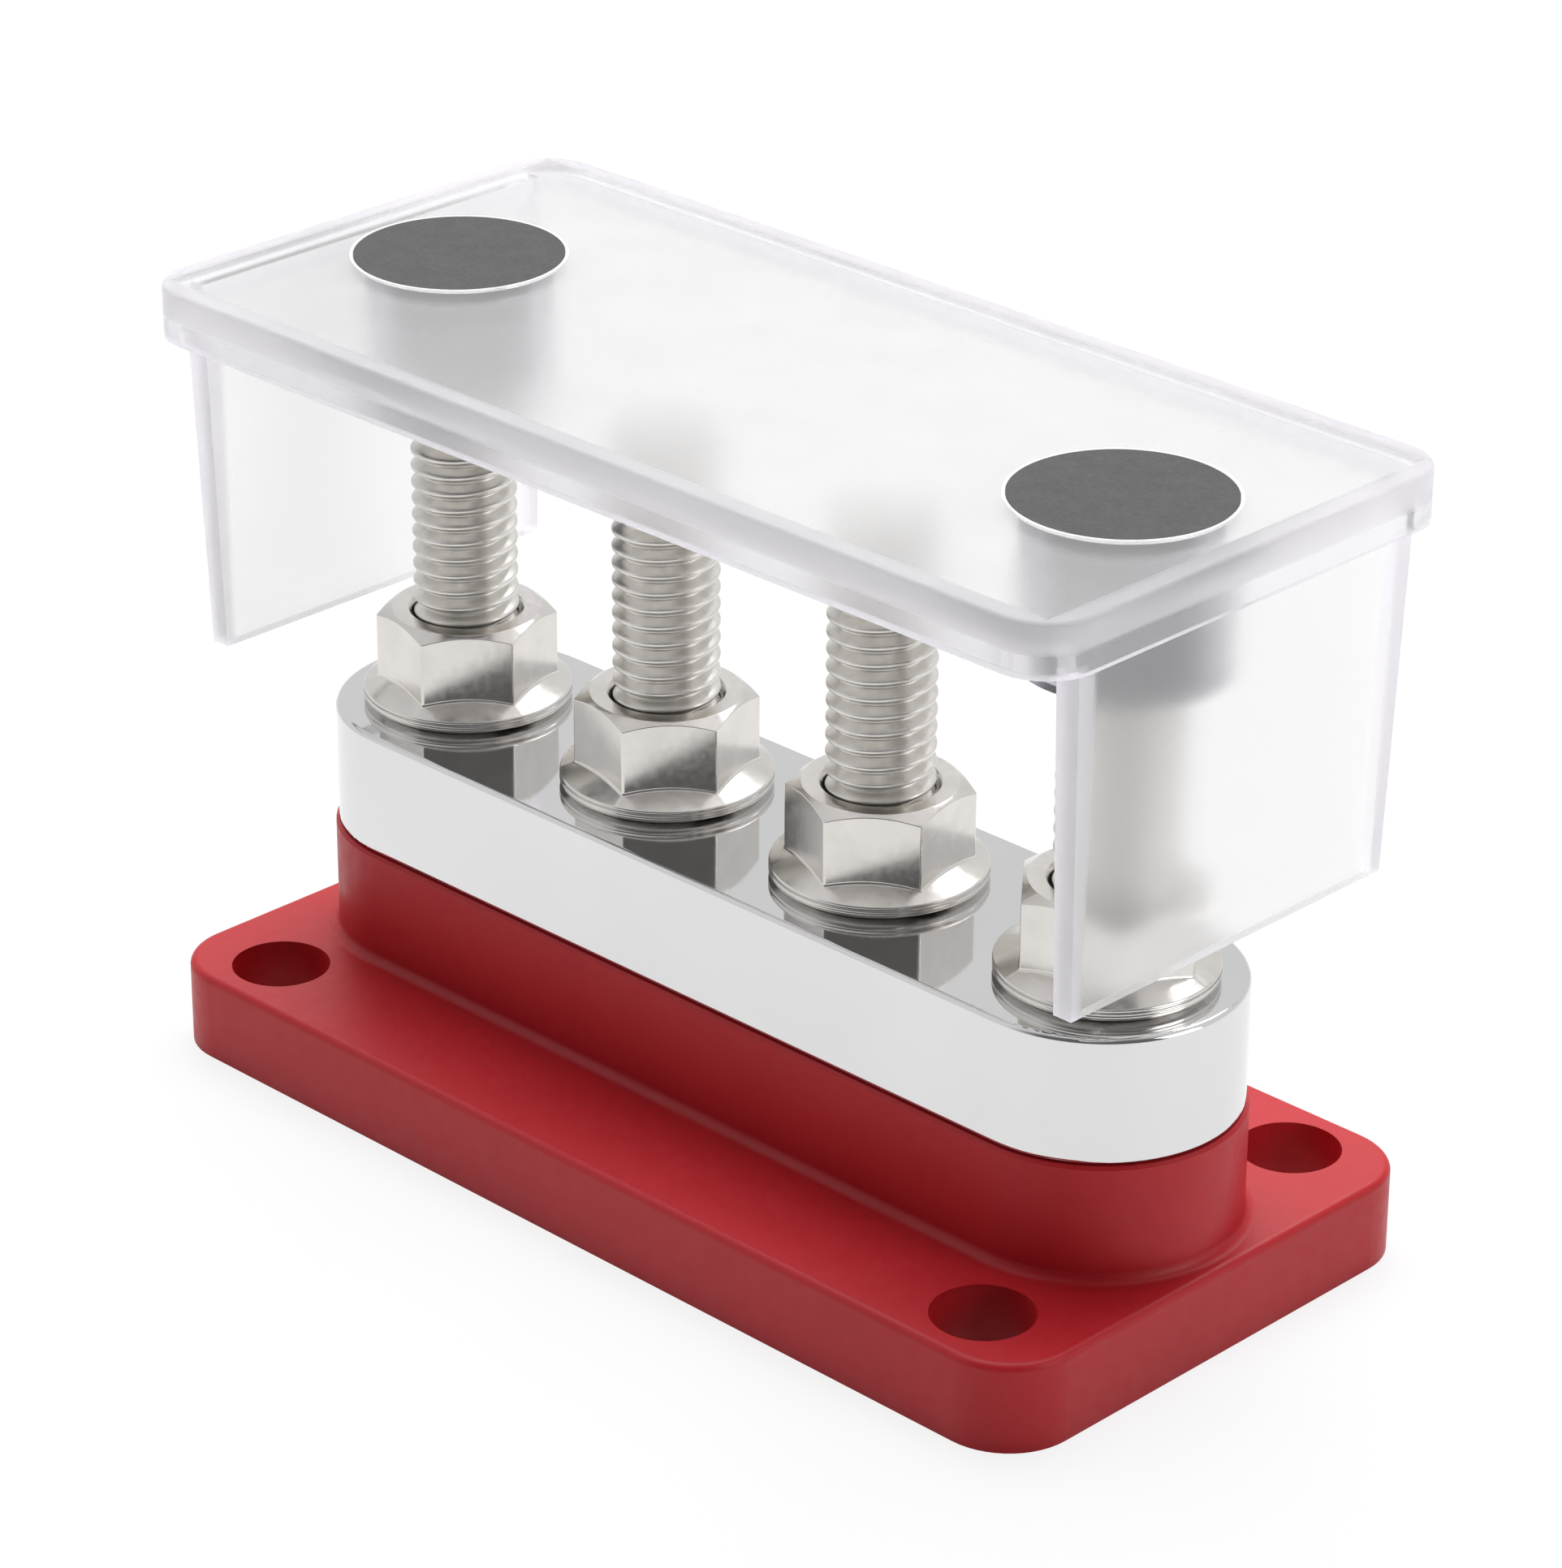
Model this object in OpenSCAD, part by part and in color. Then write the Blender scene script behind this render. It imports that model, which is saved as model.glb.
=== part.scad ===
// Power distribution block: four threaded studs on one bus bar, on a moulded base, under a
// clear lift-off cover. Millimetres. X runs along the block, Y across it, Z up. The base
// stands on Z = 0, its middle on the Z axis.

/* [Base] */
// How far the base plate runs past the bar at each end
end_margin = 2.2; // [2.2:0.1:12]
// Width of the base plate
base_w = 52; // [51:0.5:80]
// Thickness of the base plate
base_t = 8.2; // [5:0.1:14]
// Corner radius of the base plate
base_r = 6.5; // [2:0.5:12]
// Rounding along the top edge of the base plate
base_edge = 0.7; // [0.2:0.1:0.9]
// Diameter of the four mounting holes
hole_d = 9; // [4:0.1:9.4]
// Mounting hole centre to the end of the plate
hole_in_x = 9.3; // [7:0.1:10]
// Mounting hole centre to the long side of the plate
hole_in_y = 6.5; // [6:0.1:7]
// Height of the pedestal above the plate
ped_h = 10.8; // [6:0.1:20]
// How far the pedestal stands out past the bar all round
ped_margin = 0.3; // [0.2:0.1:0.6]
// Fillet at the foot of the pedestal
ped_fillet = 0.9; // [0.3:0.1:1.1]
// Chamfer along the top edge of the pedestal
ped_edge = 0.25; // [0.1:0.05:0.5]

/* [Bus bar] */
// How far the bar runs past the axis of the end studs
bar_end = 11.8; // [10.6:0.1:30]
// Width of the bar
bar_w = 25.4; // [21:0.1:25.4]
// Thickness of the bar
bar_t = 11.7; // [4:0.1:16]
// Rounding along the edges of the bar
bar_edge = 0.5; // [0.2:0.1:1.5]

/* [Studs] */
// Diameter over the thread crests
stud_d = 9.525; // [8:0.025:10]
// Distance from one turn of the thread to the next
thread_pitch = 1.5875; // [1:0.0125:2]
// Distance from one stud to the next
stud_pitch = 26; // [22:0.5:26.5]
// How far each stud stands up past the bar
stud_rise = 31.75; // [26:0.25:50]
// Chamfer on the free end
tip_chamfer = 0.8; // [0.3:0.1:1.5]
// Width across flats of the head held in the base
head_af = 14.2875; // [13:0.0125:15]
// Height of the head
head_h = 5.95; // [4:0.05:7]
// How deep the head sits inside the underside of the base
head_sink = 1.05; // [0.3:0.05:2]

/* [Nuts] */
// Width across flats
nut_af = 14.2875; // [13:0.0125:15]
// Height of the nut
nut_h = 8.8; // [7:0.1:11]
// Diameter of the flange
flange_d = 19.05; // [18.2:0.05:21]
// How far the flange's foot is cut back
foot_in = 0.6; // [0.3:0.05:0.9]
// Height over which the flange's foot is cut back
foot_h = 0.45; // [0.2:0.05:0.6]
// Height of the upright rim round the flange
flange_rim = 1.35; // [1.1:0.05:1.8]
// Slope of the flange from the rim up to the flats
flange_slope = 25; // [12:1:30]
// Depth of the groove turned in the rim
rim_groove = 0.12; // [0.05:0.01:0.2]
// Countersink at both ends of the nut's bore
mouth = 0.5; // [0.2:0.05:0.8]
// Turn of the first nut
nut_turn_1 = -12.5; // [-30:0.5:30]
// Turn of the second nut
nut_turn_2 = -12.5; // [-30:0.5:30]
// Turn of the third nut
nut_turn_3 = -21.5; // [-30:0.5:30]
// Turn of the fourth nut
nut_turn_4 = 10; // [-30:0.5:30]

/* [Cover] */
// How far the cover runs past the base plate at each end
cover_over = 0.5; // [-0.2:0.1:3]
// Width of the cover
cover_w = 49.2; // [46:0.2:70]
// Thickness of the top
top_t = 2.5; // [2:0.1:4]
// Depth of the skirt, measured from the top face
skirt_h = 4.8; // [4.4:0.1:8]
// Thickness of the skirt
skirt_t = 1.8; // [1.2:0.1:3]
// Corner radius of the cover
cover_r = 5; // [3.5:0.5:9]
// Rounding along the top edge of the cover
cover_edge = 0.4; // [0.1:0.1:0.8]
// How far the end walls hang down, measured from the top face
wall_drop = 35.6; // [30:0.1:42]
// Width of the end walls at the top
wall_w_top = 40.4; // [30:0.2:42]
// Width of the end walls at the bottom
wall_w_low = 38.2; // [28:0.2:40]
// Thickness of the end walls at the top
wall_t_top = 2.4; // [2:0.1:3.5]
// Thickness of the end walls at the bottom
wall_t_low = 1.9; // [1.2:0.1:2.4]
// How far the end walls stand in from the skirt at the top
wall_in = 0.9; // [0.4:0.1:1.5]
// How far the outer face of the end walls leans in towards the bottom
wall_lean = 0.7; // [0:0.1:1]
// Outside diameter of the sleeves over the end studs
sleeve_d = 16.6; // [15.4:0.1:18]
// Depth of the sleeves, measured from the top face
sleeve_h = 14.6; // [10:0.1:20]
// How far the end studs reach into the sleeves as the cover stands
grip = 3.55; // [1.5:0.05:5]

/* [Plugs] */
// Diameter of the flush disc
disc_d = 18.7; // [17.6:0.1:20]
// Thickness of the disc
disc_t = 1.2; // [0.8:0.1:1.5]
// Wall of the hollow stem
stem_wall = 1.45; // [1:0.05:1.8]
// Thickness of the closed end over the stud
stem_roof = 2; // [1:0.1:3]
// How far the stem stops short of the sleeve's lower end
stem_short = 0.3; // [0.1:0.1:1]

/* [Fits] */
// Gap all round between a stud and the bores it runs in
thread_gap = 0.0375; // [0.0125:0.0125:0.1]
// Gap between each flat of a head and its pocket
pocket_gap = 0.2; // [0.1:0.05:0.4]
// Gap all round between a stud and its hole in the base
shank_gap = 0.25; // [0.1:0.05:0.5]
// Gap all round between a plug and the cover
plug_gap = 0.05; // [0.0125:0.0125:0.1]

/* [Hidden] */
$fn = 96;
bar_l = 3 * stud_pitch + 2 * bar_end;
base_l = bar_l + 2 * end_margin;
hole_x = base_l / 2 - hole_in_x;
hole_y = base_w / 2 - hole_in_y;
bar_z = base_t + ped_h;
bar_top = bar_z + bar_t;
stud_r = stud_d / 2;
thread_depth = 0.61 * thread_pitch;
bore_r = stud_r + thread_gap;
head_top = head_sink + head_h;
stud_top = bar_top + stud_rise;
cover_l = base_l + 2 * cover_over;
cover_low = stud_top - grip;
cover_top = cover_low + sleeve_h;
wall_x = cover_l / 2 - wall_in;
wall_z = cover_top - wall_drop;
stem_r = bore_r + stem_wall;
// How far solids that join reach into each other.
nip = 0.5;
// How far a cut runs past the face that it opens.
past = 1;

function stud_x(i) = (i - 2.5) * stud_pitch;

// Half section, from the middle out, of a slab whose top edge is rounded by e.
module top_rounded(half, h, e) {
    square([half - e, h]);
    square([half, h - e]);
    translate([half - e, h - e]) circle(e);
}

// Half section of a bar rounded by e along its top and bottom edges.
module both_rounded(half, h, e) {
    square([half - e, h]);
    translate([0, e]) square([half, h - 2 * e]);
    for (z = [e, h - e]) translate([half - e, z]) circle(e);
}

// Half section of the pedestal, with the chamfer at its top and the fillet at its foot.
module ped_section(half) {
    polygon([[0, 0], [half, 0], [half, ped_h - ped_edge], [half - ped_edge, ped_h], [0, ped_h]]);
    difference() {
        square([half + ped_fillet, ped_fillet]);
        translate([half + ped_fillet, ped_fillet]) circle(ped_fillet);
    }
}

// A round-ended bar whose half section is the child; run is the distance between end centres.
module obround(run) {
    rotate([90, 0, 90]) translate([0, 0, -run / 2]) linear_extrude(run) {
        children();
        mirror([1, 0]) children();
    }
    for (s = [0, 1]) mirror([s, 0, 0]) translate([run / 2, 0, 0]) rotate([0, 0, -90])
        rotate_extrude(angle = 180) children();
}

// A plate with round corners r and its top edge rounded by e.
module plate(l, w, h, r, e) {
    rotate([90, 0, 90]) translate([0, 0, r - l / 2]) linear_extrude(l - 2 * r) {
        top_rounded(w / 2, h, e);
        mirror([1, 0]) top_rounded(w / 2, h, e);
    }
    for (s = [0, 1]) mirror([s, 0, 0]) {
        translate([l / 2 - r, w / 2 - r, 0]) rotate([90, 0, 0])
            linear_extrude(w - 2 * r) top_rounded(r, h, e);
        for (t = [0, 1]) mirror([0, t, 0]) translate([l / 2 - r, w / 2 - r, 0])
            rotate_extrude(angle = 90) top_rounded(r, h, e);
    }
}

// Outline of a rectangle with round corners.
module round_rect(l, w, r) {
    square([l - 2 * r, w], center = true);
    square([l, w - 2 * r], center = true);
    for (x = [-1, 1], y = [-1, 1]) translate([x * (l / 2 - r), y * (w / 2 - r)]) circle(r);
}

// Hexagon prism over width af, its top corners cut back by a 30 degree chamfer.
module hex_prism(af, h) {
    face_r = 0.475 * af;
    wide_r = 0.6 * af;
    intersection() {
        cylinder(d = af / cos(30), h = h, $fn = 6);
        rotate_extrude() polygon([[0, -past], [wide_r, -past],
            [wide_r, h - (wide_r - face_r) * tan(30)], [face_r, h], [0, h]]);
    }
}

module base() {
    color([0.62, 0.05, 0.07]) difference() {
        union() {
            plate(base_l, base_w, base_t, base_r, base_edge);
            translate([0, 0, base_t]) obround(bar_l - bar_w) ped_section(bar_w / 2 + ped_margin);
        }
        for (x = [-1, 1], y = [-1, 1]) translate([x * hole_x, y * hole_y, -past])
            cylinder(d = hole_d, h = base_t + 2 * past);
        for (i = [1:4]) translate([stud_x(i), 0, 0]) {
            translate([0, 0, -past]) cylinder(d = (head_af + 2 * pocket_gap) / cos(30),
                h = head_top + past, $fn = 6);
            cylinder(r = stud_r + shank_gap, h = bar_z + past);
        }
    }
}

module bus_bar() {
    color([0.82, 0.82, 0.83]) difference() {
        translate([0, 0, bar_z]) obround(bar_l - bar_w) both_rounded(bar_w / 2, bar_t, bar_edge);
        for (i = [1:4]) translate([stud_x(i), 0, bar_z - past])
            cylinder(r = bore_r, h = bar_t + 2 * past);
    }
}

// One stud: the shank of a hex bolt that comes up through the base and the bar. Its thread is
// one V groove a turn, from inside the nut's upper end to the tip, and plain where it is hidden.
module stud(i) {
    turns = ceil((stud_rise - nut_h + mouth - tip_chamfer) / thread_pitch);
    low = stud_top - tip_chamfer - turns * thread_pitch;
    crest = 0.125 * thread_pitch;
    root = (thread_pitch - crest) / 2;
    groove = [[stud_r, 0], [stud_r - thread_depth, root], [stud_r, 2 * root]];
    color([0.72, 0.70, 0.67]) translate([stud_x(i), 0, 0]) {
        translate([0, 0, head_top]) mirror([0, 0, 1]) hex_prism(head_af, head_h);
        rotate_extrude() polygon([[0, head_top - nip], [stud_r, head_top - nip],
            for (turn = [0:turns - 1], p = groove) [p[0], low + turn * thread_pitch + p[1]],
            [stud_r, stud_top - tip_chamfer], [stud_r - tip_chamfer, stud_top], [0, stud_top]]);
    }
}
module stud_1() stud(1);
module stud_2() stud(2);
module stud_3() stud(3);
module stud_4() stud(4);

// One nut: flats, chamfer, coned flange and grooved rim in a single piece.
module nut(i, turn) {
    rim_r = flange_d / 2;
    core_r = 0.4 * nut_af;
    cone_top = flange_rim + (rim_r - core_r) * tan(flange_slope);
    mid = (foot_h + flange_rim) / 2;
    color([0.76, 0.75, 0.72]) translate([stud_x(i), 0, bar_top]) rotate([0, 0, turn])
    difference() {
        union() {
            translate([0, 0, nip]) hex_prism(nut_af, nut_h - nip);
            rotate_extrude() polygon([[0, 0], [rim_r - foot_in, 0], [rim_r, foot_h],
                [rim_r, mid - rim_groove], [rim_r - rim_groove, mid], [rim_r, mid + rim_groove],
                [rim_r, flange_rim], [core_r, cone_top], [0, cone_top]]);
        }
        translate([0, 0, -past]) cylinder(r = bore_r, h = nut_h + 2 * past);
        cylinder(r1 = bore_r + mouth, r2 = bore_r, h = mouth);
        translate([0, 0, nut_h - mouth]) cylinder(r1 = bore_r, r2 = bore_r + mouth, h = mouth);
    }
}
module nut_1() nut(1, nut_turn_1);
module nut_2() nut(2, nut_turn_2);
module nut_3() nut(3, nut_turn_3);
module nut_4() nut(4, nut_turn_4);

// One end wall at +X: the side view gives its thickness and lean, the front view its taper.
module end_wall() {
    up = cover_top - top_t + nip;
    intersection() {
        translate([0, base_w / 2, 0]) rotate([90, 0, 0]) linear_extrude(base_w)
            polygon([[wall_x - wall_lean - wall_t_low, wall_z], [wall_x - wall_lean, wall_z],
                [wall_x, up], [wall_x - wall_t_top, up]]);
        rotate([90, 0, 90]) linear_extrude(cover_l)
            polygon([[-wall_w_low / 2, wall_z], [wall_w_low / 2, wall_z],
                [wall_w_top / 2, up], [-wall_w_top / 2, up]]);
    }
}

module cover() {
    color([0.85, 0.87, 0.92, 0.35]) difference() {
        union() {
            difference() {
                translate([0, 0, cover_top - skirt_h])
                    plate(cover_l, cover_w, skirt_h, cover_r, cover_edge);
                translate([0, 0, cover_top - skirt_h - past]) linear_extrude(skirt_h - top_t + past)
                    round_rect(cover_l - 2 * skirt_t, cover_w - 2 * skirt_t, cover_r - skirt_t);
            }
            for (s = [0, 1]) mirror([s, 0, 0]) end_wall();
            for (i = [1, 4]) translate([stud_x(i), 0, cover_low])
                cylinder(d = sleeve_d, h = sleeve_h - top_t + nip);
        }
        for (i = [1, 4]) translate([stud_x(i), 0, 0]) {
            translate([0, 0, cover_low - past])
                cylinder(r = stem_r + plug_gap, h = sleeve_h + 2 * past);
            translate([0, 0, cover_top - disc_t])
                cylinder(r = disc_d / 2 + plug_gap, h = disc_t + past);
        }
    }
}

// One plug: a flush disc on a hollow stem that grips the end stud.
module plug(i) {
    low = cover_low + stem_short;
    under = cover_top - disc_t;
    color([0.2, 0.2, 0.2]) translate([stud_x(i), 0, 0]) rotate_extrude()
        polygon([[0, under - stem_roof], [bore_r, under - stem_roof], [bore_r, low + nip],
            [bore_r + nip, low], [stem_r, low], [stem_r, under], [disc_d / 2, under],
            [disc_d / 2, cover_top], [0, cover_top]]);
}
module plug_1() plug(1);
module plug_2() plug(4);

base();
bus_bar();
stud_1();
stud_2();
stud_3();
stud_4();
nut_1();
nut_2();
nut_3();
nut_4();
cover();
plug_1();
plug_2();
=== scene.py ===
"""Power distribution block: materials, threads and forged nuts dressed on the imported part. Metres."""

import math

import bmesh
import bpy
from mathutils import Matrix, Vector


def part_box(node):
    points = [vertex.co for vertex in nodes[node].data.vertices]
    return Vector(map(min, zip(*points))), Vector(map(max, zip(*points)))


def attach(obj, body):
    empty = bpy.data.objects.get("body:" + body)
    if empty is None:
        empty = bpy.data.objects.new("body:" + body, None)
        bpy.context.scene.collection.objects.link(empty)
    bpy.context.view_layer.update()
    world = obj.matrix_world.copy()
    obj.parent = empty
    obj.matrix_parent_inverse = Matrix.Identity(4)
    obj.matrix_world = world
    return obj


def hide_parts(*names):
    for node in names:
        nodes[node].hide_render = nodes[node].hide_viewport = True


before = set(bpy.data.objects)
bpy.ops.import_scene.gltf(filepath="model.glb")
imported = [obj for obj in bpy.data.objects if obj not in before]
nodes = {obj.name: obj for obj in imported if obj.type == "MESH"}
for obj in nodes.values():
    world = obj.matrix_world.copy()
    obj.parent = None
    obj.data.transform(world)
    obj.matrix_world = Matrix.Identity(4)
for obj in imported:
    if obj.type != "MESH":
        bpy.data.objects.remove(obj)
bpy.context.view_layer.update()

MM = 0.001

# Studs and nuts are numbered along +X.
NUMBERS = (1, 2, 3, 4)

# The photograph's view: the camera's direction, roll and distance, what it faces, and its shift from there.
VIEW_AZIMUTH = math.radians(44.42)
VIEW_ELEVATION = math.radians(25.531)
VIEW_ROLL = math.radians(0.333)
VIEW_DISTANCE = 485.06 * MM
AIM = Vector((0, 0, 35 * MM))
AIM_RIGHT = 0.815 * MM
AIM_UP = -0.275 * MM
LENS_MM = 128.22

# The sky: one side of it lights the object, and mirrors show it pale with one side dark.
# A side is a direction, and the two angles from it between which it fades, in degrees.
BRIGHT_SIDE = (-0.9, -0.08, 0.45)
BRIGHT_SPREAD = (20, 75)
BRIGHT_LIGHT = 0.95
REST_LIGHT = 0.03
DARK_SIDE = (0.66, -0.68, 0.31)
DARK_SPREAD = (38, 72)
MIRRORED_WHITE = 0.8
MIRRORED_DARK = 0.144
WHITE = (1, 1, 1, 1)

# The floor: its width, its paper's colour, and how much of it shows plain white.
FLOOR_SIZE = 8
FLOOR_PAPER = (0.9, 0.9, 0.9, 1)
FLOOR_WHITE = 0.84

# The lamps: place, size and watts.
OVERHEAD = ((-0.16, 0.27, 0.7), (0.6, 0.6), 7.2)
RIGHT_SIDE = ((0.7, 0.2, 0.35), (0.4, 0.5), 1.7)

# The cover's zones: each starts at its first level or distance and is full at its second.
# X and Y are measured from the middle, and R from the axis of a sleeve, which stands at SLEEVE_X.
TOP_FROM = (70.6 * MM, 71.2 * MM)
SKIRT_X = (51.2 * MM, 52.2 * MM)
SKIRT_Y = (22.4 * MM, 23.4 * MM)
SKIRT_Z = (68.2 * MM, 68.6 * MM)
WALL_Y = (17.8 * MM, 18.8 * MM)
SLEEVE_X = 39 * MM
SLEEVE_R = (8.9 * MM, 8.5 * MM)
RECESS_R = (9.7 * MM, 9.5 * MM)
RECESS_FROM = (72.2 * MM, 72.4 * MM)
RING_R = (9.75 * MM, 9.65 * MM)
RING_FROM = (73.3 * MM, 73.45 * MM)

# Their finish: tint, how clear they are, and roughness. WALL is for what is in no zone.
# SHADOW_TINT is what light keeps when it passes the cover.
WALL_TINT = (0.97, 0.97, 0.975, 1)
TOP_TINT = (0.86, 0.86, 0.865, 1)
# The sleeves' grey tint is painted shade, standing for the dark plug stems seen through them.
SLEEVE_PAINTED_SHADE = (0.55, 0.55, 0.60, 1)
# The edges' pale, faintly lavender tint and their lower clearness are a painted glow, standing for the
# light that the cover's edges carry.
EDGE_PAINTED_GLOW = (0.98, 0.965, 1.0, 1)
# The ring's white tint and low clearness are a painted highlight, where the edge of each recess catches
# light.
RING_PAINTED_HIGHLIGHT = (0.9, 0.9, 0.9, 1)
SHADOW_TINT = (0.93, 0.93, 0.94, 1)
WALL_CLEAR = 0.92
TOP_CLEAR = 0.86
EDGE_CLEAR = 0.76
RING_CLEAR = 0.4
TOP_ROUGH = (0.17, 0.22)
WALL_ROUGH = 0.26
SLEEVE_ROUGH = 0.15
PLATE_EDGE_ROUGH = 0.8
WALL_EDGE_ROUGH = 0.95

# Hexagons of nuts and heads: width over the flats, chamfer, and the round face's share of that width.
HEX_FLATS = 14.2875 * MM
HEX_CHAMFER = math.radians(30)
HEX_FACE = 0.95

# Threads of a 3/8-16 stud, how finely they are drawn, and the level where they begin.
PITCH = 25.4 * MM / 16
THREAD_DEPTH = 0.61 * PITCH
THREAD_STEPS = 72
THREAD_START = 27 * MM
TIP_CHAMFER = 0.8 * MM
STUD_R = 4.7625 * MM

# The stud's head and the plain shank that runs up inside its thread.
HEAD_H = 5.95 * MM
HEAD_EASE = 0.15 * MM
HEAD_CORNER_R = 0.3 * MM
SHANK_R = 3.7 * MM
SHANK_TOP = THREAD_START + 1 * MM

# Nuts: the sizes that the frame's boxes don't give, eased edges, and each one's turn in degrees.
NUT_BORE_R = 4.80 * MM
FLANGE_R = 9.525 * MM
FLANGE_RIM = 1.35 * MM
FLANGE_SLOPE = math.radians(25)
FOOT_IN = 0.6 * MM
FOOT_H = 0.45 * MM
RIM_GROOVE = 0.12 * MM
BORE_MOUTH = 0.5 * MM
EDGE_EASE = 0.12 * MM
MOUTH_EASE = 0.06 * MM
RIM_EASE = 0.22 * MM
NECK_EASE = 0.35 * MM
NUT_CORNER_R = 0.35 * MM
NUT_TURNS = {1: -12.5, 2: -12.5, 3: -21.5, 4: 10.0}

# Points closer than WELD are one point. Easing a corner takes at most MOST_EASE of a side.
# LARGE_FACES is how strongly normals follow the larger faces.
WELD = 1e-7
MOST_EASE = 0.45
LARGE_FACES = 80

# The middle of a noise's range, where most of it lies.
NOISE_RANGE = (0.3, 0.7)


class Surface:
    """One procedural material: a Principled shader with a few helpers round it."""

    def __init__(self, name, **values):
        self.mat = bpy.data.materials.new(name)
        self.mat.use_nodes = True
        self.tree = self.mat.node_tree
        self.shader = self.tree.nodes["Principled BSDF"]
        self.output = self.tree.nodes["Material Output"]
        for key, value in values.items():
            self.shader.inputs[key.replace("_", " ")].default_value = value

    def node(self, kind, **settings):
        """A new node with its settings."""
        made = self.tree.nodes.new(kind)
        for key, value in settings.items():
            setattr(made, key, value)
        return made

    def link(self, source, target):
        """Links an output to an input."""
        self.tree.links.new(source, target)

    def noise(self, scale, detail=2.0, stretch=(1, 1, 1)):
        """Noise over the part's own frame; scale is in features per metre."""
        place = self.node("ShaderNodeTexCoord")
        mapping = self.node("ShaderNodeMapping")
        mapping.inputs["Scale"].default_value = stretch
        noise = self.node("ShaderNodeTexNoise")
        noise.inputs["Scale"].default_value = scale
        noise.inputs["Detail"].default_value = detail
        self.link(place.outputs["Object"], mapping.inputs["Vector"])
        self.link(mapping.outputs["Vector"], noise.inputs["Vector"])
        return noise.outputs["Fac"]

    def spread(self, fac, low, high):
        """The middle of a noise's range spread over low to high."""
        ranged = self.node("ShaderNodeMapRange")
        for key, value in zip(("From Min", "From Max", "To Min", "To Max"), (*NOISE_RANGE, low, high)):
            ranged.inputs[key].default_value = value
        self.link(fac, ranged.inputs["Value"])
        return ranged.outputs["Result"]

    def feed(self, value, target):
        """Links a socket to target, or sets target to a number or colour."""
        if isinstance(value, bpy.types.NodeSocket):
            self.link(value, target)
        else:
            target.default_value = value

    def mix(self, fac, low, high):
        """Runs from low to high with fac; high is a number or a colour, low the same or a socket of it."""
        kind = "RGBA" if isinstance(high, tuple) else "FLOAT"
        mix = self.node("ShaderNodeMix", data_type=kind)
        factor, *ends = [end for end in mix.inputs if end.enabled]
        self.link(fac, factor)
        for end, value in zip(ends, (low, high)):
            self.feed(value, end)
        return next(end for end in mix.outputs if end.enabled)

    def zoned(self, rest, *zones):
        """rest, with each (zone, value) in turn laid over it where that zone is 1."""
        for zone, value in zones:
            rest = self.mix(zone, rest, value)
        return rest

    def place(self):
        """The three coordinates of the part's own frame."""
        place = self.node("ShaderNodeTexCoord")
        split = self.node("ShaderNodeSeparateXYZ")
        self.link(place.outputs["Object"], split.inputs["Vector"])
        return split.outputs

    def math(self, operation, *values):
        """One step of arithmetic on sockets and numbers."""
        step = self.node("ShaderNodeMath", operation=operation)
        for end, value in zip(step.inputs, values):
            self.feed(value, end)
        return step.outputs[0]

    def fade(self, value, start, end):
        """0 up to start, 1 from end on."""
        fade = self.node("ShaderNodeMapRange", interpolation_type="SMOOTHSTEP")
        fade.inputs["From Min"].default_value = start
        fade.inputs["From Max"].default_value = end
        self.link(value, fade.inputs["Value"])
        return fade.outputs["Result"]

    def give(self, source, name):
        """Links an output to one of the shader's inputs."""
        self.link(source, self.shader.inputs[name])

    def tint(self, noise, dark, light):
        """The base colour runs from dark to light with noise."""
        self.give(self.mix(self.spread(noise, low=0, high=1), (*dark, 1), (*light, 1)), "Base Color")

    def roughen(self, noise, low, high):
        """The roughness runs from low to high with noise."""
        self.give(self.spread(noise, low, high), "Roughness")

    def bump(self, height, distance, strength):
        """The surface rises by distance with height."""
        bump = self.node("ShaderNodeBump")
        bump.inputs["Distance"].default_value = distance
        bump.inputs["Strength"].default_value = strength
        self.link(height, bump.inputs["Height"])
        self.give(bump.outputs["Normal"], "Normal")


def red_moulding():
    """Semi-matt moulded plastic."""
    s = Surface("red_moulding", Roughness=0.42, Specular_IOR_Level=0.3)
    s.tint(s.noise(scale=90, detail=3), dark=(0.45, 0.012, 0.018), light=(0.48, 0.014, 0.021))
    s.roughen(s.noise(scale=700, detail=4), low=0.38, high=0.5)
    s.bump(s.noise(scale=5200), distance=0.012 * MM, strength=0.6)
    return s.mat


def plated_bar():
    """Bright plating with faint marks across the bar."""
    s = Surface("plated_bar", Metallic=1.0, Roughness=0.06)
    s.tint(s.noise(scale=60), dark=(0.71, 0.71, 0.715), light=(0.735, 0.735, 0.74))
    s.roughen(s.noise(scale=2500, detail=3, stretch=(0.15, 1, 1)), low=0.045, high=0.085)
    s.bump(s.noise(scale=120, detail=1), distance=0.01 * MM, strength=0.5)
    return s.mat


def stud_steel():
    """Rolled thread: satin and a little uneven."""
    s = Surface("stud_steel", Metallic=1.0, Roughness=0.33)
    s.tint(s.noise(scale=900, detail=3), dark=(0.68, 0.66, 0.625), light=(0.78, 0.76, 0.725))
    s.roughen(s.noise(scale=1500), low=0.3, high=0.36)
    s.bump(s.noise(scale=2500), distance=0.004 * MM, strength=0.3)
    return s.mat


def nut_steel():
    """Polished forging with shallow waves."""
    s = Surface("nut_steel", Metallic=1.0, Roughness=0.19)
    s.tint(s.noise(scale=300, detail=3), dark=(0.68, 0.655, 0.625), light=(0.75, 0.725, 0.695))
    s.roughen(s.noise(scale=1400), low=0.16, high=0.22)
    s.bump(s.noise(scale=300, detail=1), distance=0.012 * MM, strength=0.4)
    return s.mat


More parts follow.
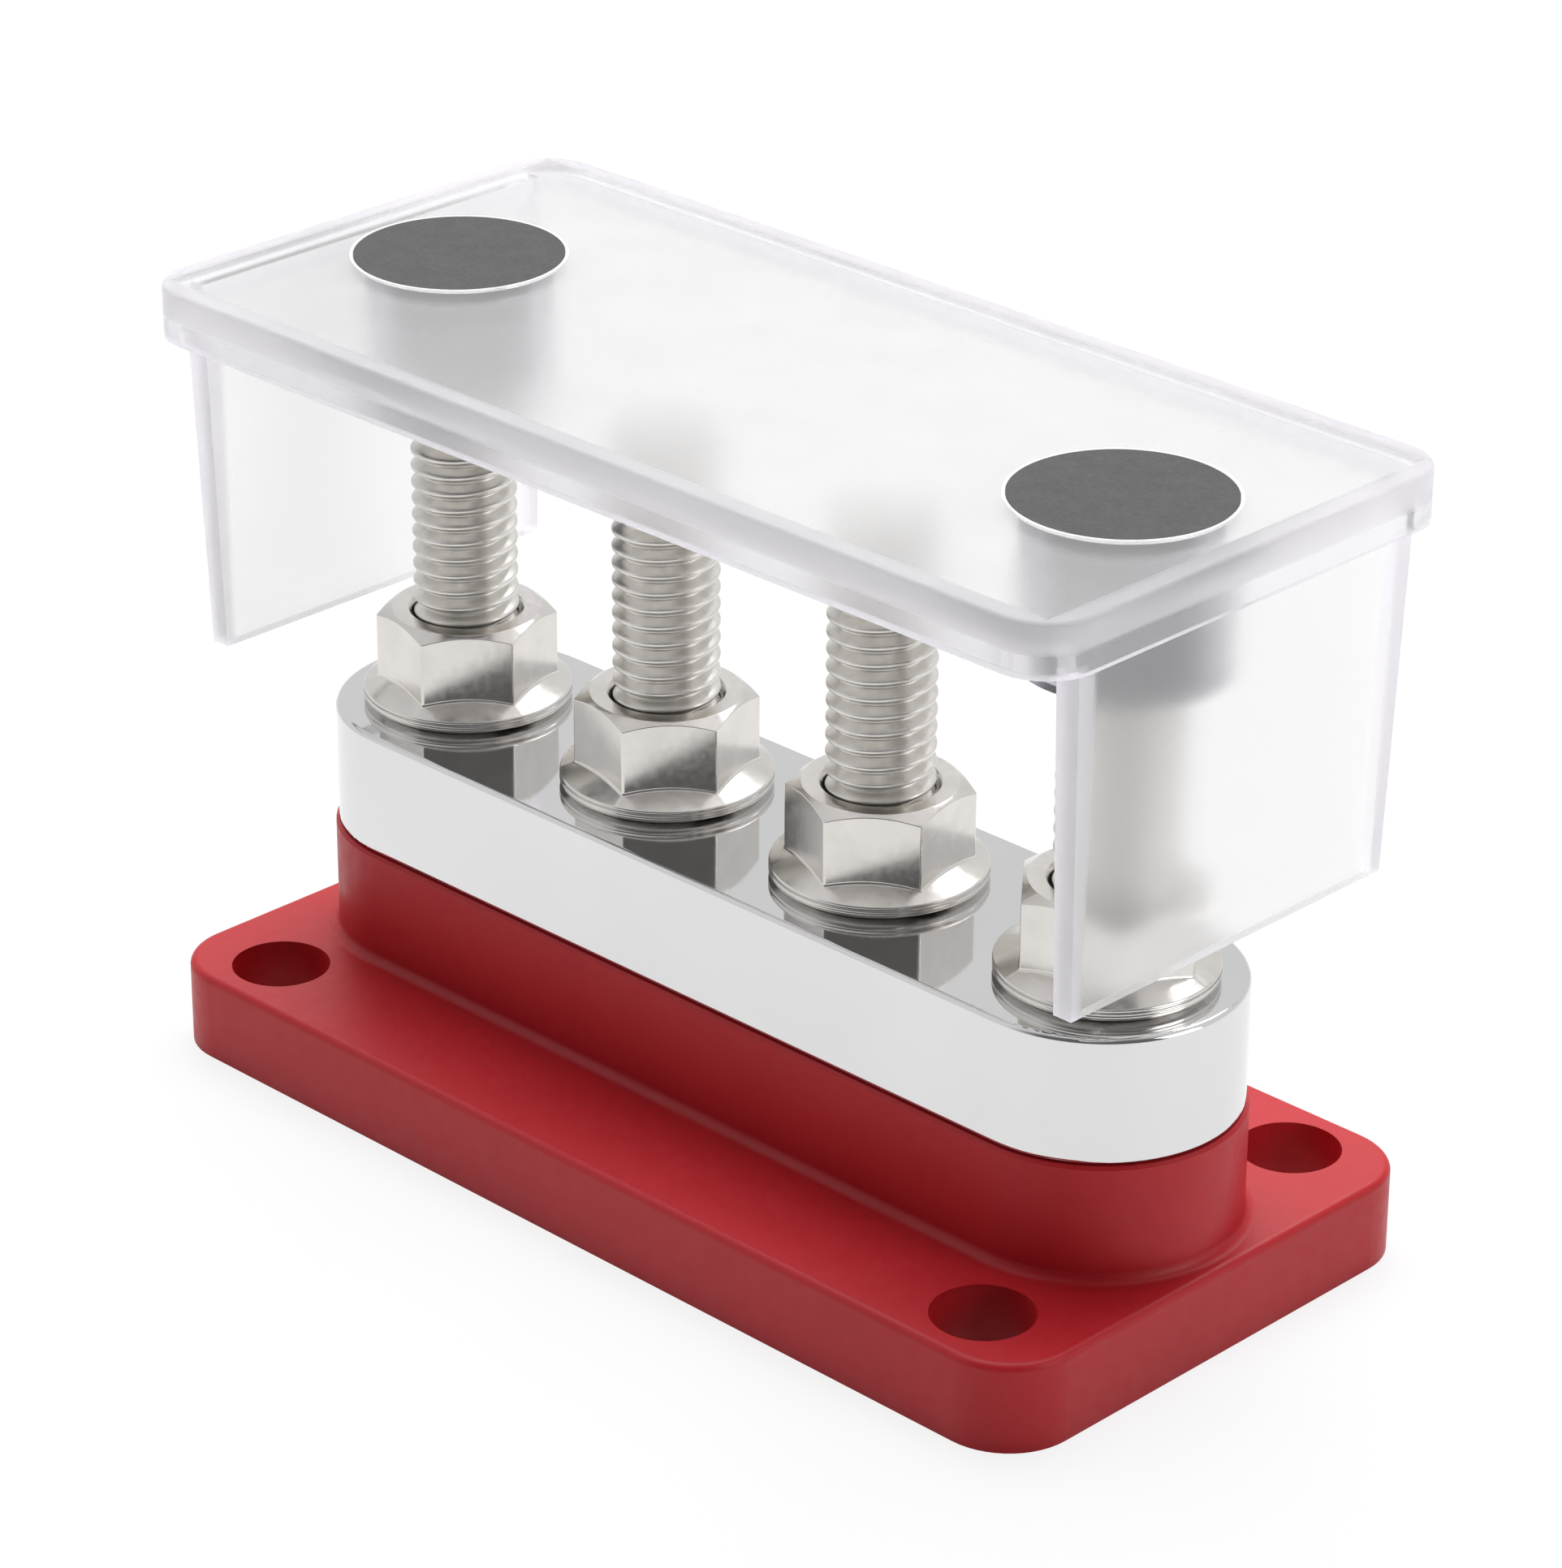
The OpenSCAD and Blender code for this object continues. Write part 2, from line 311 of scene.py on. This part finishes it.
def plug_rubber():
    """Matt dark rubber."""
    s = Surface("plug_rubber", Roughness=0.75, Specular_IOR_Level=0.3)
    s.tint(s.noise(scale=500, detail=3), dark=(0.066, 0.065, 0.067), light=(0.076, 0.075, 0.077))
    s.roughen(s.noise(scale=2500, detail=3), low=0.68, high=0.82)
    s.bump(s.noise(scale=5000), distance=0.01 * MM, strength=0.5)
    return s.mat


def clear_cover():
    """Clear moulding, milky over its top and frosted at its edges, with painted shade in its sleeves, a
    painted glow on its edges and a painted highlight ring at each recess; lamps light what it covers.
    """
    s = Surface("clear_cover", IOR=1.45)
    x, y, z = s.place()
    far_x = s.math("ABSOLUTE", x)
    far_y = s.math("ABSOLUTE", y)
    off_axis = s.math("SUBTRACT", far_x, SLEEVE_X)
    from_axis = s.math("SQRT", s.math("ADD", s.math("POWER", off_axis, 2.0), s.math("POWER", far_y, 2.0)))

    top = s.fade(z, *TOP_FROM)
    below = s.math("SUBTRACT", 1.0, top)
    skirt_up = s.fade(z, *SKIRT_Z)
    skirt_down = s.math("SUBTRACT", 1.0, skirt_up)
    rim = s.math("MAXIMUM", s.fade(far_x, *SKIRT_X), s.fade(far_y, *SKIRT_Y))
    plate_edge = s.math("MULTIPLY", rim, top)
    wall_edge = s.math("MULTIPLY", s.fade(far_y, *WALL_Y), skirt_down)
    edge = s.math("MAXIMUM", s.math("MULTIPLY", rim, skirt_up), wall_edge)
    sleeve = s.math("MULTIPLY", s.fade(from_axis, *SLEEVE_R), below)
    recess = s.math("MULTIPLY", s.fade(from_axis, *RECESS_R), s.fade(z, *RECESS_FROM))
    ring = s.math("MULTIPLY", s.fade(from_axis, *RING_R), s.fade(z, *RING_FROM))

    # Over the walls: the milky top, painted shade in the sleeves, a painted glow on the edges and a painted
    # highlight ring at each recess.
    s.give(s.zoned(WALL_TINT, (top, TOP_TINT), (sleeve, SLEEVE_PAINTED_SHADE), (edge, EDGE_PAINTED_GLOW), (ring, RING_PAINTED_HIGHLIGHT)),
           "Base Color")
    s.give(s.zoned(WALL_CLEAR, (top, TOP_CLEAR), (edge, EDGE_CLEAR), (ring, RING_CLEAR)),
           "Transmission Weight")
    top_rough = s.spread(s.noise(scale=160, detail=3), *TOP_ROUGH)
    s.give(s.zoned(top_rough, (below, WALL_ROUGH), (sleeve, SLEEVE_ROUGH), (plate_edge, PLATE_EDGE_ROUGH),
                   (wall_edge, WALL_EDGE_ROUGH), (recess, 0.0)), "Roughness")

    path = s.node("ShaderNodeLightPath")
    lit = s.node("ShaderNodeBsdfTransparent")
    lit.inputs["Color"].default_value = SHADOW_TINT
    mix = s.node("ShaderNodeMixShader")
    s.link(path.outputs["Is Shadow Ray"], mix.inputs["Fac"])
    s.link(s.shader.outputs["BSDF"], mix.inputs[1])
    s.link(lit.outputs["BSDF"], mix.inputs[2])
    s.link(mix.outputs["Shader"], s.output.inputs["Surface"])
    return s.mat


def dress(obj, mat):
    """obj wears one material."""
    obj.data.materials.clear()
    obj.data.materials.append(mat)


def rounded(corners, steps=3):
    """A closed outline with each corner (x, y, radius) eased by a curve of about that radius."""
    points = []
    count = len(corners)
    for i, (x, y, radius) in enumerate(corners):
        here = Vector((x, y))
        before = Vector(corners[i - 1][:2]) - here
        after = Vector(corners[(i + 1) % count][:2]) - here
        if radius <= 0:
            points.append(here)
            continue
        half = before.angle(after) / 2
        reach = min(radius / math.tan(half), MOST_EASE * before.length, MOST_EASE * after.length)
        start = here + before.normalized() * reach
        end = here + after.normalized() * reach
        for k in range(steps + 1):
            t = k / steps
            points.append(start * (1 - t) ** 2 + here * 2 * t * (1 - t) + end * t ** 2)
    return points


def hex_columns(flats, corner_r, flat_steps=10, corner_steps=6):
    """(angle, radius) all round a hexagon with rounded corners; the first corner is at angle 0."""
    inner = flats / 2
    straight = math.atan((inner - corner_r) * math.tan(math.pi / 6) / inner)
    centre = (inner - corner_r) / math.cos(math.pi / 6)
    columns = []
    for side in range(6):
        corner = side * math.pi / 3
        turn = math.pi / 6 - straight
        for k in range(corner_steps):
            off = -turn + 2 * turn * k / corner_steps
            reach = math.sqrt(corner_r ** 2 - (centre * math.sin(off)) ** 2)
            columns.append((corner + off, centre * math.cos(off) + reach))
        for k in range(flat_steps):
            off = -straight + 2 * straight * k / flat_steps
            columns.append((corner + math.pi / 6 + off, inner / math.cos(off)))
    return columns


def nut_section(hex_r, height):
    """Half section of a nut where its hexagon is hex_r from the axis."""
    face_r = HEX_FACE * HEX_FLATS / 2
    cone_z = FLANGE_RIM + (FLANGE_R - hex_r) * math.tan(FLANGE_SLOPE)
    chamfer_z = height - (hex_r - face_r) * math.tan(HEX_CHAMFER)
    mid = (FOOT_H + FLANGE_RIM) / 2
    mouth_r = NUT_BORE_R + BORE_MOUTH
    return rounded([
        (NUT_BORE_R, BORE_MOUTH, 0),
        (mouth_r, 0, 0),
        (FLANGE_R - FOOT_IN, 0, EDGE_EASE),
        (FLANGE_R, FOOT_H, EDGE_EASE),
        (FLANGE_R, mid - RIM_GROOVE, 0),
        (FLANGE_R - RIM_GROOVE, mid, 0),
        (FLANGE_R, mid + RIM_GROOVE, 0),
        (FLANGE_R, FLANGE_RIM, RIM_EASE),
        (hex_r, cone_z, NECK_EASE),
        (hex_r, chamfer_z, EDGE_EASE),
        (face_r, height, EDGE_EASE),
        (mouth_r, height, MOUTH_EASE),
        (NUT_BORE_R, height - BORE_MOUTH, 0)])


def around_axis(centre, columns, section, turn=0.0):
    """Rings of points: section(radius) stands on centre at the angle of each (angle, radius) column."""
    rings = []
    for angle, radius in columns:
        a = angle + turn
        rings.append([(centre.x + p.x * math.cos(a), centre.y + p.x * math.sin(a), centre.z + p.y)
                      for p in section(radius)])
    return rings


def loft(mesh, rings):
    """Adds a closed skin through rings of points; each ring is closed, and the last joins the first."""
    made = [[mesh.verts.new(p) for p in ring] for ring in rings]
    for i, here in enumerate(made):
        after = made[(i + 1) % len(made)]
        for k in range(len(here)):
            n = (k + 1) % len(here)
            mesh.faces.new((here[k], after[k], after[n], here[n]))


def finished(mesh, name, mat):
    """The object of a bmesh: clean, smooth, with normals that follow its large faces."""
    bmesh.ops.remove_doubles(mesh, verts=mesh.verts, dist=WELD)
    bmesh.ops.recalc_face_normals(mesh, faces=mesh.faces)
    data = bpy.data.meshes.new(name)
    mesh.to_mesh(data)
    mesh.free()
    data.polygons.foreach_set("use_smooth", [True] * len(data.polygons))
    obj = bpy.data.objects.new(name, data)
    bpy.context.collection.objects.link(obj)
    weighted = obj.modifiers.new("weighted", "WEIGHTED_NORMAL")
    weighted.weight = LARGE_FACES
    dress(obj, mat)
    return obj


def forged_nut(number, mat):
    """A flange nut with eased edges, in place of the plain one."""
    low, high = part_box(f"nut_{number}")
    foot = Vector(((low.x + high.x) / 2, 0, low.z))
    mesh = bmesh.new()
    loft(mesh, around_axis(foot, hex_columns(HEX_FLATS, NUT_CORNER_R),
                           lambda hex_r: nut_section(hex_r, high.z - low.z),
                           math.radians(NUT_TURNS[number])))
    nut = finished(mesh, f"forged_nut_{number}", mat)
    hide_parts(f"nut_{number}")
    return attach(nut, f"nut_{number}")


def bolt_section(hex_r, shank_top):
    """Half section of a stud's head and plain lower shank, where its hexagon is hex_r from the axis."""
    face_r = HEX_FACE * HEX_FLATS / 2
    chamfer_z = (hex_r - face_r) * math.tan(HEX_CHAMFER)
    return rounded([
        (0, 0, 0),
        (face_r, 0, HEAD_EASE),
        (hex_r, chamfer_z, HEAD_EASE),
        (hex_r, HEAD_H, HEAD_EASE),
        (SHANK_R, HEAD_H, 0),
        (SHANK_R, shank_top, 0),
        (0, shank_top, 0)])


def thread_rows():
    """(place along one pitch, share of the thread's depth) of the rows that draw one turn."""
    crest = [(0.00, 0.0), (0.05, 0.0)]
    falling = [(0.09, 0.03), (0.14, 0.13), (0.26, 0.45), (0.38, 0.78), (0.44, 0.93)]
    rising = [(1 - along, depth) for along, depth in reversed(falling)]
    return crest + falling + [(0.5, 1.0)] + rising + [(0.95, 0.0)]


def add_thread(mesh, axis_x, bottom, top):
    """Adds a right-handed thread between two levels, with a flat, chamfered upper end."""
    rows = thread_rows()
    turns = math.ceil((top - bottom) / PITCH) + 2
    columns = []
    for step in range(THREAD_STEPS + 1):
        angle = 2 * math.pi * step / THREAD_STEPS
        column = []
        for turn in range(turns):
            for along, depth in rows:
                z = bottom + PITCH * (turn - 1 + along + step / THREAD_STEPS)
                r = min(STUD_R - depth * THREAD_DEPTH, STUD_R - TIP_CHAMFER + max(top - z, 0))
                column.append(mesh.verts.new((axis_x + r * math.cos(angle), r * math.sin(angle), z)))
        columns.append(column)
    for here, after in zip(columns, columns[1:]):
        for k in range(len(here) - 1):
            mesh.faces.new((here[k], after[k], after[k + 1], here[k + 1]))
    bmesh.ops.remove_doubles(mesh, verts=mesh.verts, dist=WELD)
    for level, side in ((top, 1), (bottom, -1)):
        whole = mesh.verts[:] + mesh.edges[:] + mesh.faces[:]
        bmesh.ops.bisect_plane(mesh, geom=whole, plane_co=(0, 0, level), plane_no=(0, 0, side),
                               clear_outer=True)
        rim = [e for e in mesh.edges
               if e.is_boundary and all(abs(v.co.z - level) < WELD for v in e.verts)]
        bmesh.ops.holes_fill(mesh, edges=rim, sides=0)


def threaded_stud(number, mat):
    """A hex bolt with a real thread, in place of the plain one."""
    low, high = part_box(f"stud_{number}")
    foot = Vector(((low.x + high.x) / 2, 0, low.z))
    mesh = bmesh.new()
    add_thread(mesh, foot.x, THREAD_START, high.z)
    loft(mesh, around_axis(foot, hex_columns(HEX_FLATS, HEAD_CORNER_R),
                           lambda hex_r: bolt_section(hex_r, SHANK_TOP - low.z)))
    stud = finished(mesh, f"threaded_stud_{number}", mat)
    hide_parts(f"stud_{number}")
    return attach(stud, "block")


def seen_ray(tree):
    """1 where a ray comes from the camera, or by a mirror or through something clear."""
    path = tree.nodes.new("ShaderNodeLightPath")
    total = path.outputs["Is Camera Ray"]
    for name in ("Is Glossy Ray", "Is Transmission Ray"):
        more = tree.nodes.new("ShaderNodeMath")
        more.operation = "MAXIMUM"
        tree.links.new(total, more.inputs[0])
        tree.links.new(path.outputs[name], more.inputs[1])
        total = more.outputs[0]
    return total


def backdrop():
    """A wide pale floor that shows white and keeps a faint shadow."""
    bpy.ops.mesh.primitive_plane_add(size=FLOOR_SIZE)
    floor = bpy.context.object
    floor.name = "floor"
    mat = bpy.data.materials.new("floor_paper")
    mat.use_nodes = True
    tree = mat.node_tree
    tree.nodes.remove(tree.nodes["Principled BSDF"])
    paper = tree.nodes.new("ShaderNodeBsdfDiffuse")
    paper.inputs["Color"].default_value = FLOOR_PAPER
    white = tree.nodes.new("ShaderNodeEmission")
    white.inputs["Strength"].default_value = 1.0
    mix = tree.nodes.new("ShaderNodeMixShader")
    share = tree.nodes.new("ShaderNodeMath")
    share.operation = "MULTIPLY"
    share.inputs[1].default_value = FLOOR_WHITE
    tree.links.new(seen_ray(tree), share.inputs[0])
    tree.links.new(share.outputs[0], mix.inputs["Fac"])
    tree.links.new(paper.outputs[0], mix.inputs[1])
    tree.links.new(white.outputs[0], mix.inputs[2])
    tree.links.new(mix.outputs[0], tree.nodes["Material Output"].inputs["Surface"])
    dress(floor, mat)


def side(tree, direction, spread):
    """1 toward one side of the sky, 0 away from it; spread is the two angles of the fade, in degrees."""
    inner, outer = spread
    place = tree.nodes.new("ShaderNodeTexCoord")
    toward = tree.nodes.new("ShaderNodeVectorMath")
    toward.operation = "DOT_PRODUCT"
    toward.inputs[1].default_value = Vector(direction).normalized()
    tree.links.new(place.outputs["Generated"], toward.inputs[0])
    fade = tree.nodes.new("ShaderNodeMapRange")
    fade.interpolation_type = "SMOOTHSTEP"
    fade.inputs["From Min"].default_value = math.cos(math.radians(outer))
    fade.inputs["From Max"].default_value = math.cos(math.radians(inner))
    tree.links.new(toward.outputs["Value"], fade.inputs["Value"])
    return fade.outputs["Result"]


def graded(tree, background, fac, away, toward):
    """The strength of a background runs from away to toward with fac."""
    strength = tree.nodes.new("ShaderNodeMapRange")
    strength.inputs["To Min"].default_value = away
    strength.inputs["To Max"].default_value = toward
    tree.links.new(fac, strength.inputs["Value"])
    tree.links.new(strength.outputs["Result"], background.inputs["Strength"])


def sky():
    """White where it is seen, pale with a dark side in mirrors; its bright side lights the object."""
    world = bpy.data.worlds.new("studio")
    bpy.context.scene.world = world
    world.use_nodes = True
    tree = world.node_tree
    light = tree.nodes["Background"]
    light.inputs["Color"].default_value = WHITE
    graded(tree, light, side(tree, BRIGHT_SIDE, BRIGHT_SPREAD), REST_LIGHT, BRIGHT_LIGHT)
    white = tree.nodes.new("ShaderNodeBackground")
    white.inputs["Color"].default_value = WHITE
    mirrored = tree.nodes.new("ShaderNodeBackground")
    mirrored.inputs["Color"].default_value = WHITE
    graded(tree, mirrored, side(tree, DARK_SIDE, DARK_SPREAD), MIRRORED_WHITE, MIRRORED_DARK)
    path = tree.nodes.new("ShaderNodeLightPath")
    seen = tree.nodes.new("ShaderNodeMixShader")
    tree.links.new(path.outputs["Is Glossy Ray"], seen.inputs["Fac"])
    tree.links.new(white.outputs[0], seen.inputs[1])
    tree.links.new(mirrored.outputs[0], seen.inputs[2])
    mix = tree.nodes.new("ShaderNodeMixShader")
    tree.links.new(seen_ray(tree), mix.inputs["Fac"])
    tree.links.new(light.outputs[0], mix.inputs[1])
    tree.links.new(seen.outputs[0], mix.inputs[2])
    tree.links.new(mix.outputs[0], tree.nodes["World Output"].inputs["Surface"])


def softbox(name, place, size, watts):
    """An area lamp that faces the middle of the object."""
    lamp = bpy.data.lights.new(name, "AREA")
    lamp.shape = "RECTANGLE"
    lamp.size, lamp.size_y = size
    lamp.energy = watts
    obj = bpy.data.objects.new(name, lamp)
    obj.location = place
    obj.rotation_euler = (AIM - Vector(place)).to_track_quat("-Z", "Y").to_euler()
    bpy.context.collection.objects.link(obj)
    return obj


def overhead(cover):
    """The main lamp, and one like it for the cover alone, which lights its milk and gives no glare."""
    main = softbox("overhead", *OVERHEAD)
    milk = softbox("overhead_milk", *OVERHEAD)
    milk.visible_glossy = False
    milk.visible_transmission = False
    for lamp, state in ((main, "EXCLUDE"), (milk, "INCLUDE")):
        linked = bpy.data.collections.new(lamp.name + "_on_cover")
        linked.objects.link(cover)
        linked.collection_objects[0].light_linking.link_state = state
        lamp.light_linking.receiver_collection = linked


def camera():
    """The camera of the photograph."""
    back = Vector((math.sin(VIEW_AZIMUTH) * math.cos(VIEW_ELEVATION),
                   -math.cos(VIEW_AZIMUTH) * math.cos(VIEW_ELEVATION), math.sin(VIEW_ELEVATION)))
    right = Vector((math.cos(VIEW_AZIMUTH), math.sin(VIEW_AZIMUTH), 0))
    up = back.cross(right)
    across = right * math.cos(VIEW_ROLL) + up * math.sin(VIEW_ROLL)
    upward = up * math.cos(VIEW_ROLL) - right * math.sin(VIEW_ROLL)
    place = AIM + back * VIEW_DISTANCE + across * AIM_RIGHT + upward * AIM_UP
    data = bpy.data.cameras.new("camera")
    data.lens = LENS_MM
    data.clip_start = 10 * MM
    cam = bpy.data.objects.new("camera", data)
    cam.matrix_world = Matrix.Translation(place) @ Matrix((across, upward, back)).transposed().to_4x4()
    bpy.context.collection.objects.link(cam)
    bpy.context.scene.camera = cam


camera()
sky()
backdrop()
softbox("right_side", *RIGHT_SIDE)
overhead(nodes["cover"])

dress(nodes["base"], red_moulding())
dress(nodes["bus_bar"], plated_bar())
dress(nodes["cover"], clear_cover())
rubber = plug_rubber()
for plug in ("plug_1", "plug_2"):
    dress(nodes[plug], rubber)
bright = nut_steel()
rolled = stud_steel()
for number in NUMBERS:
    forged_nut(number, bright)
    threaded_stud(number, rolled)

bpy.context.scene.view_settings.view_transform = "Standard"
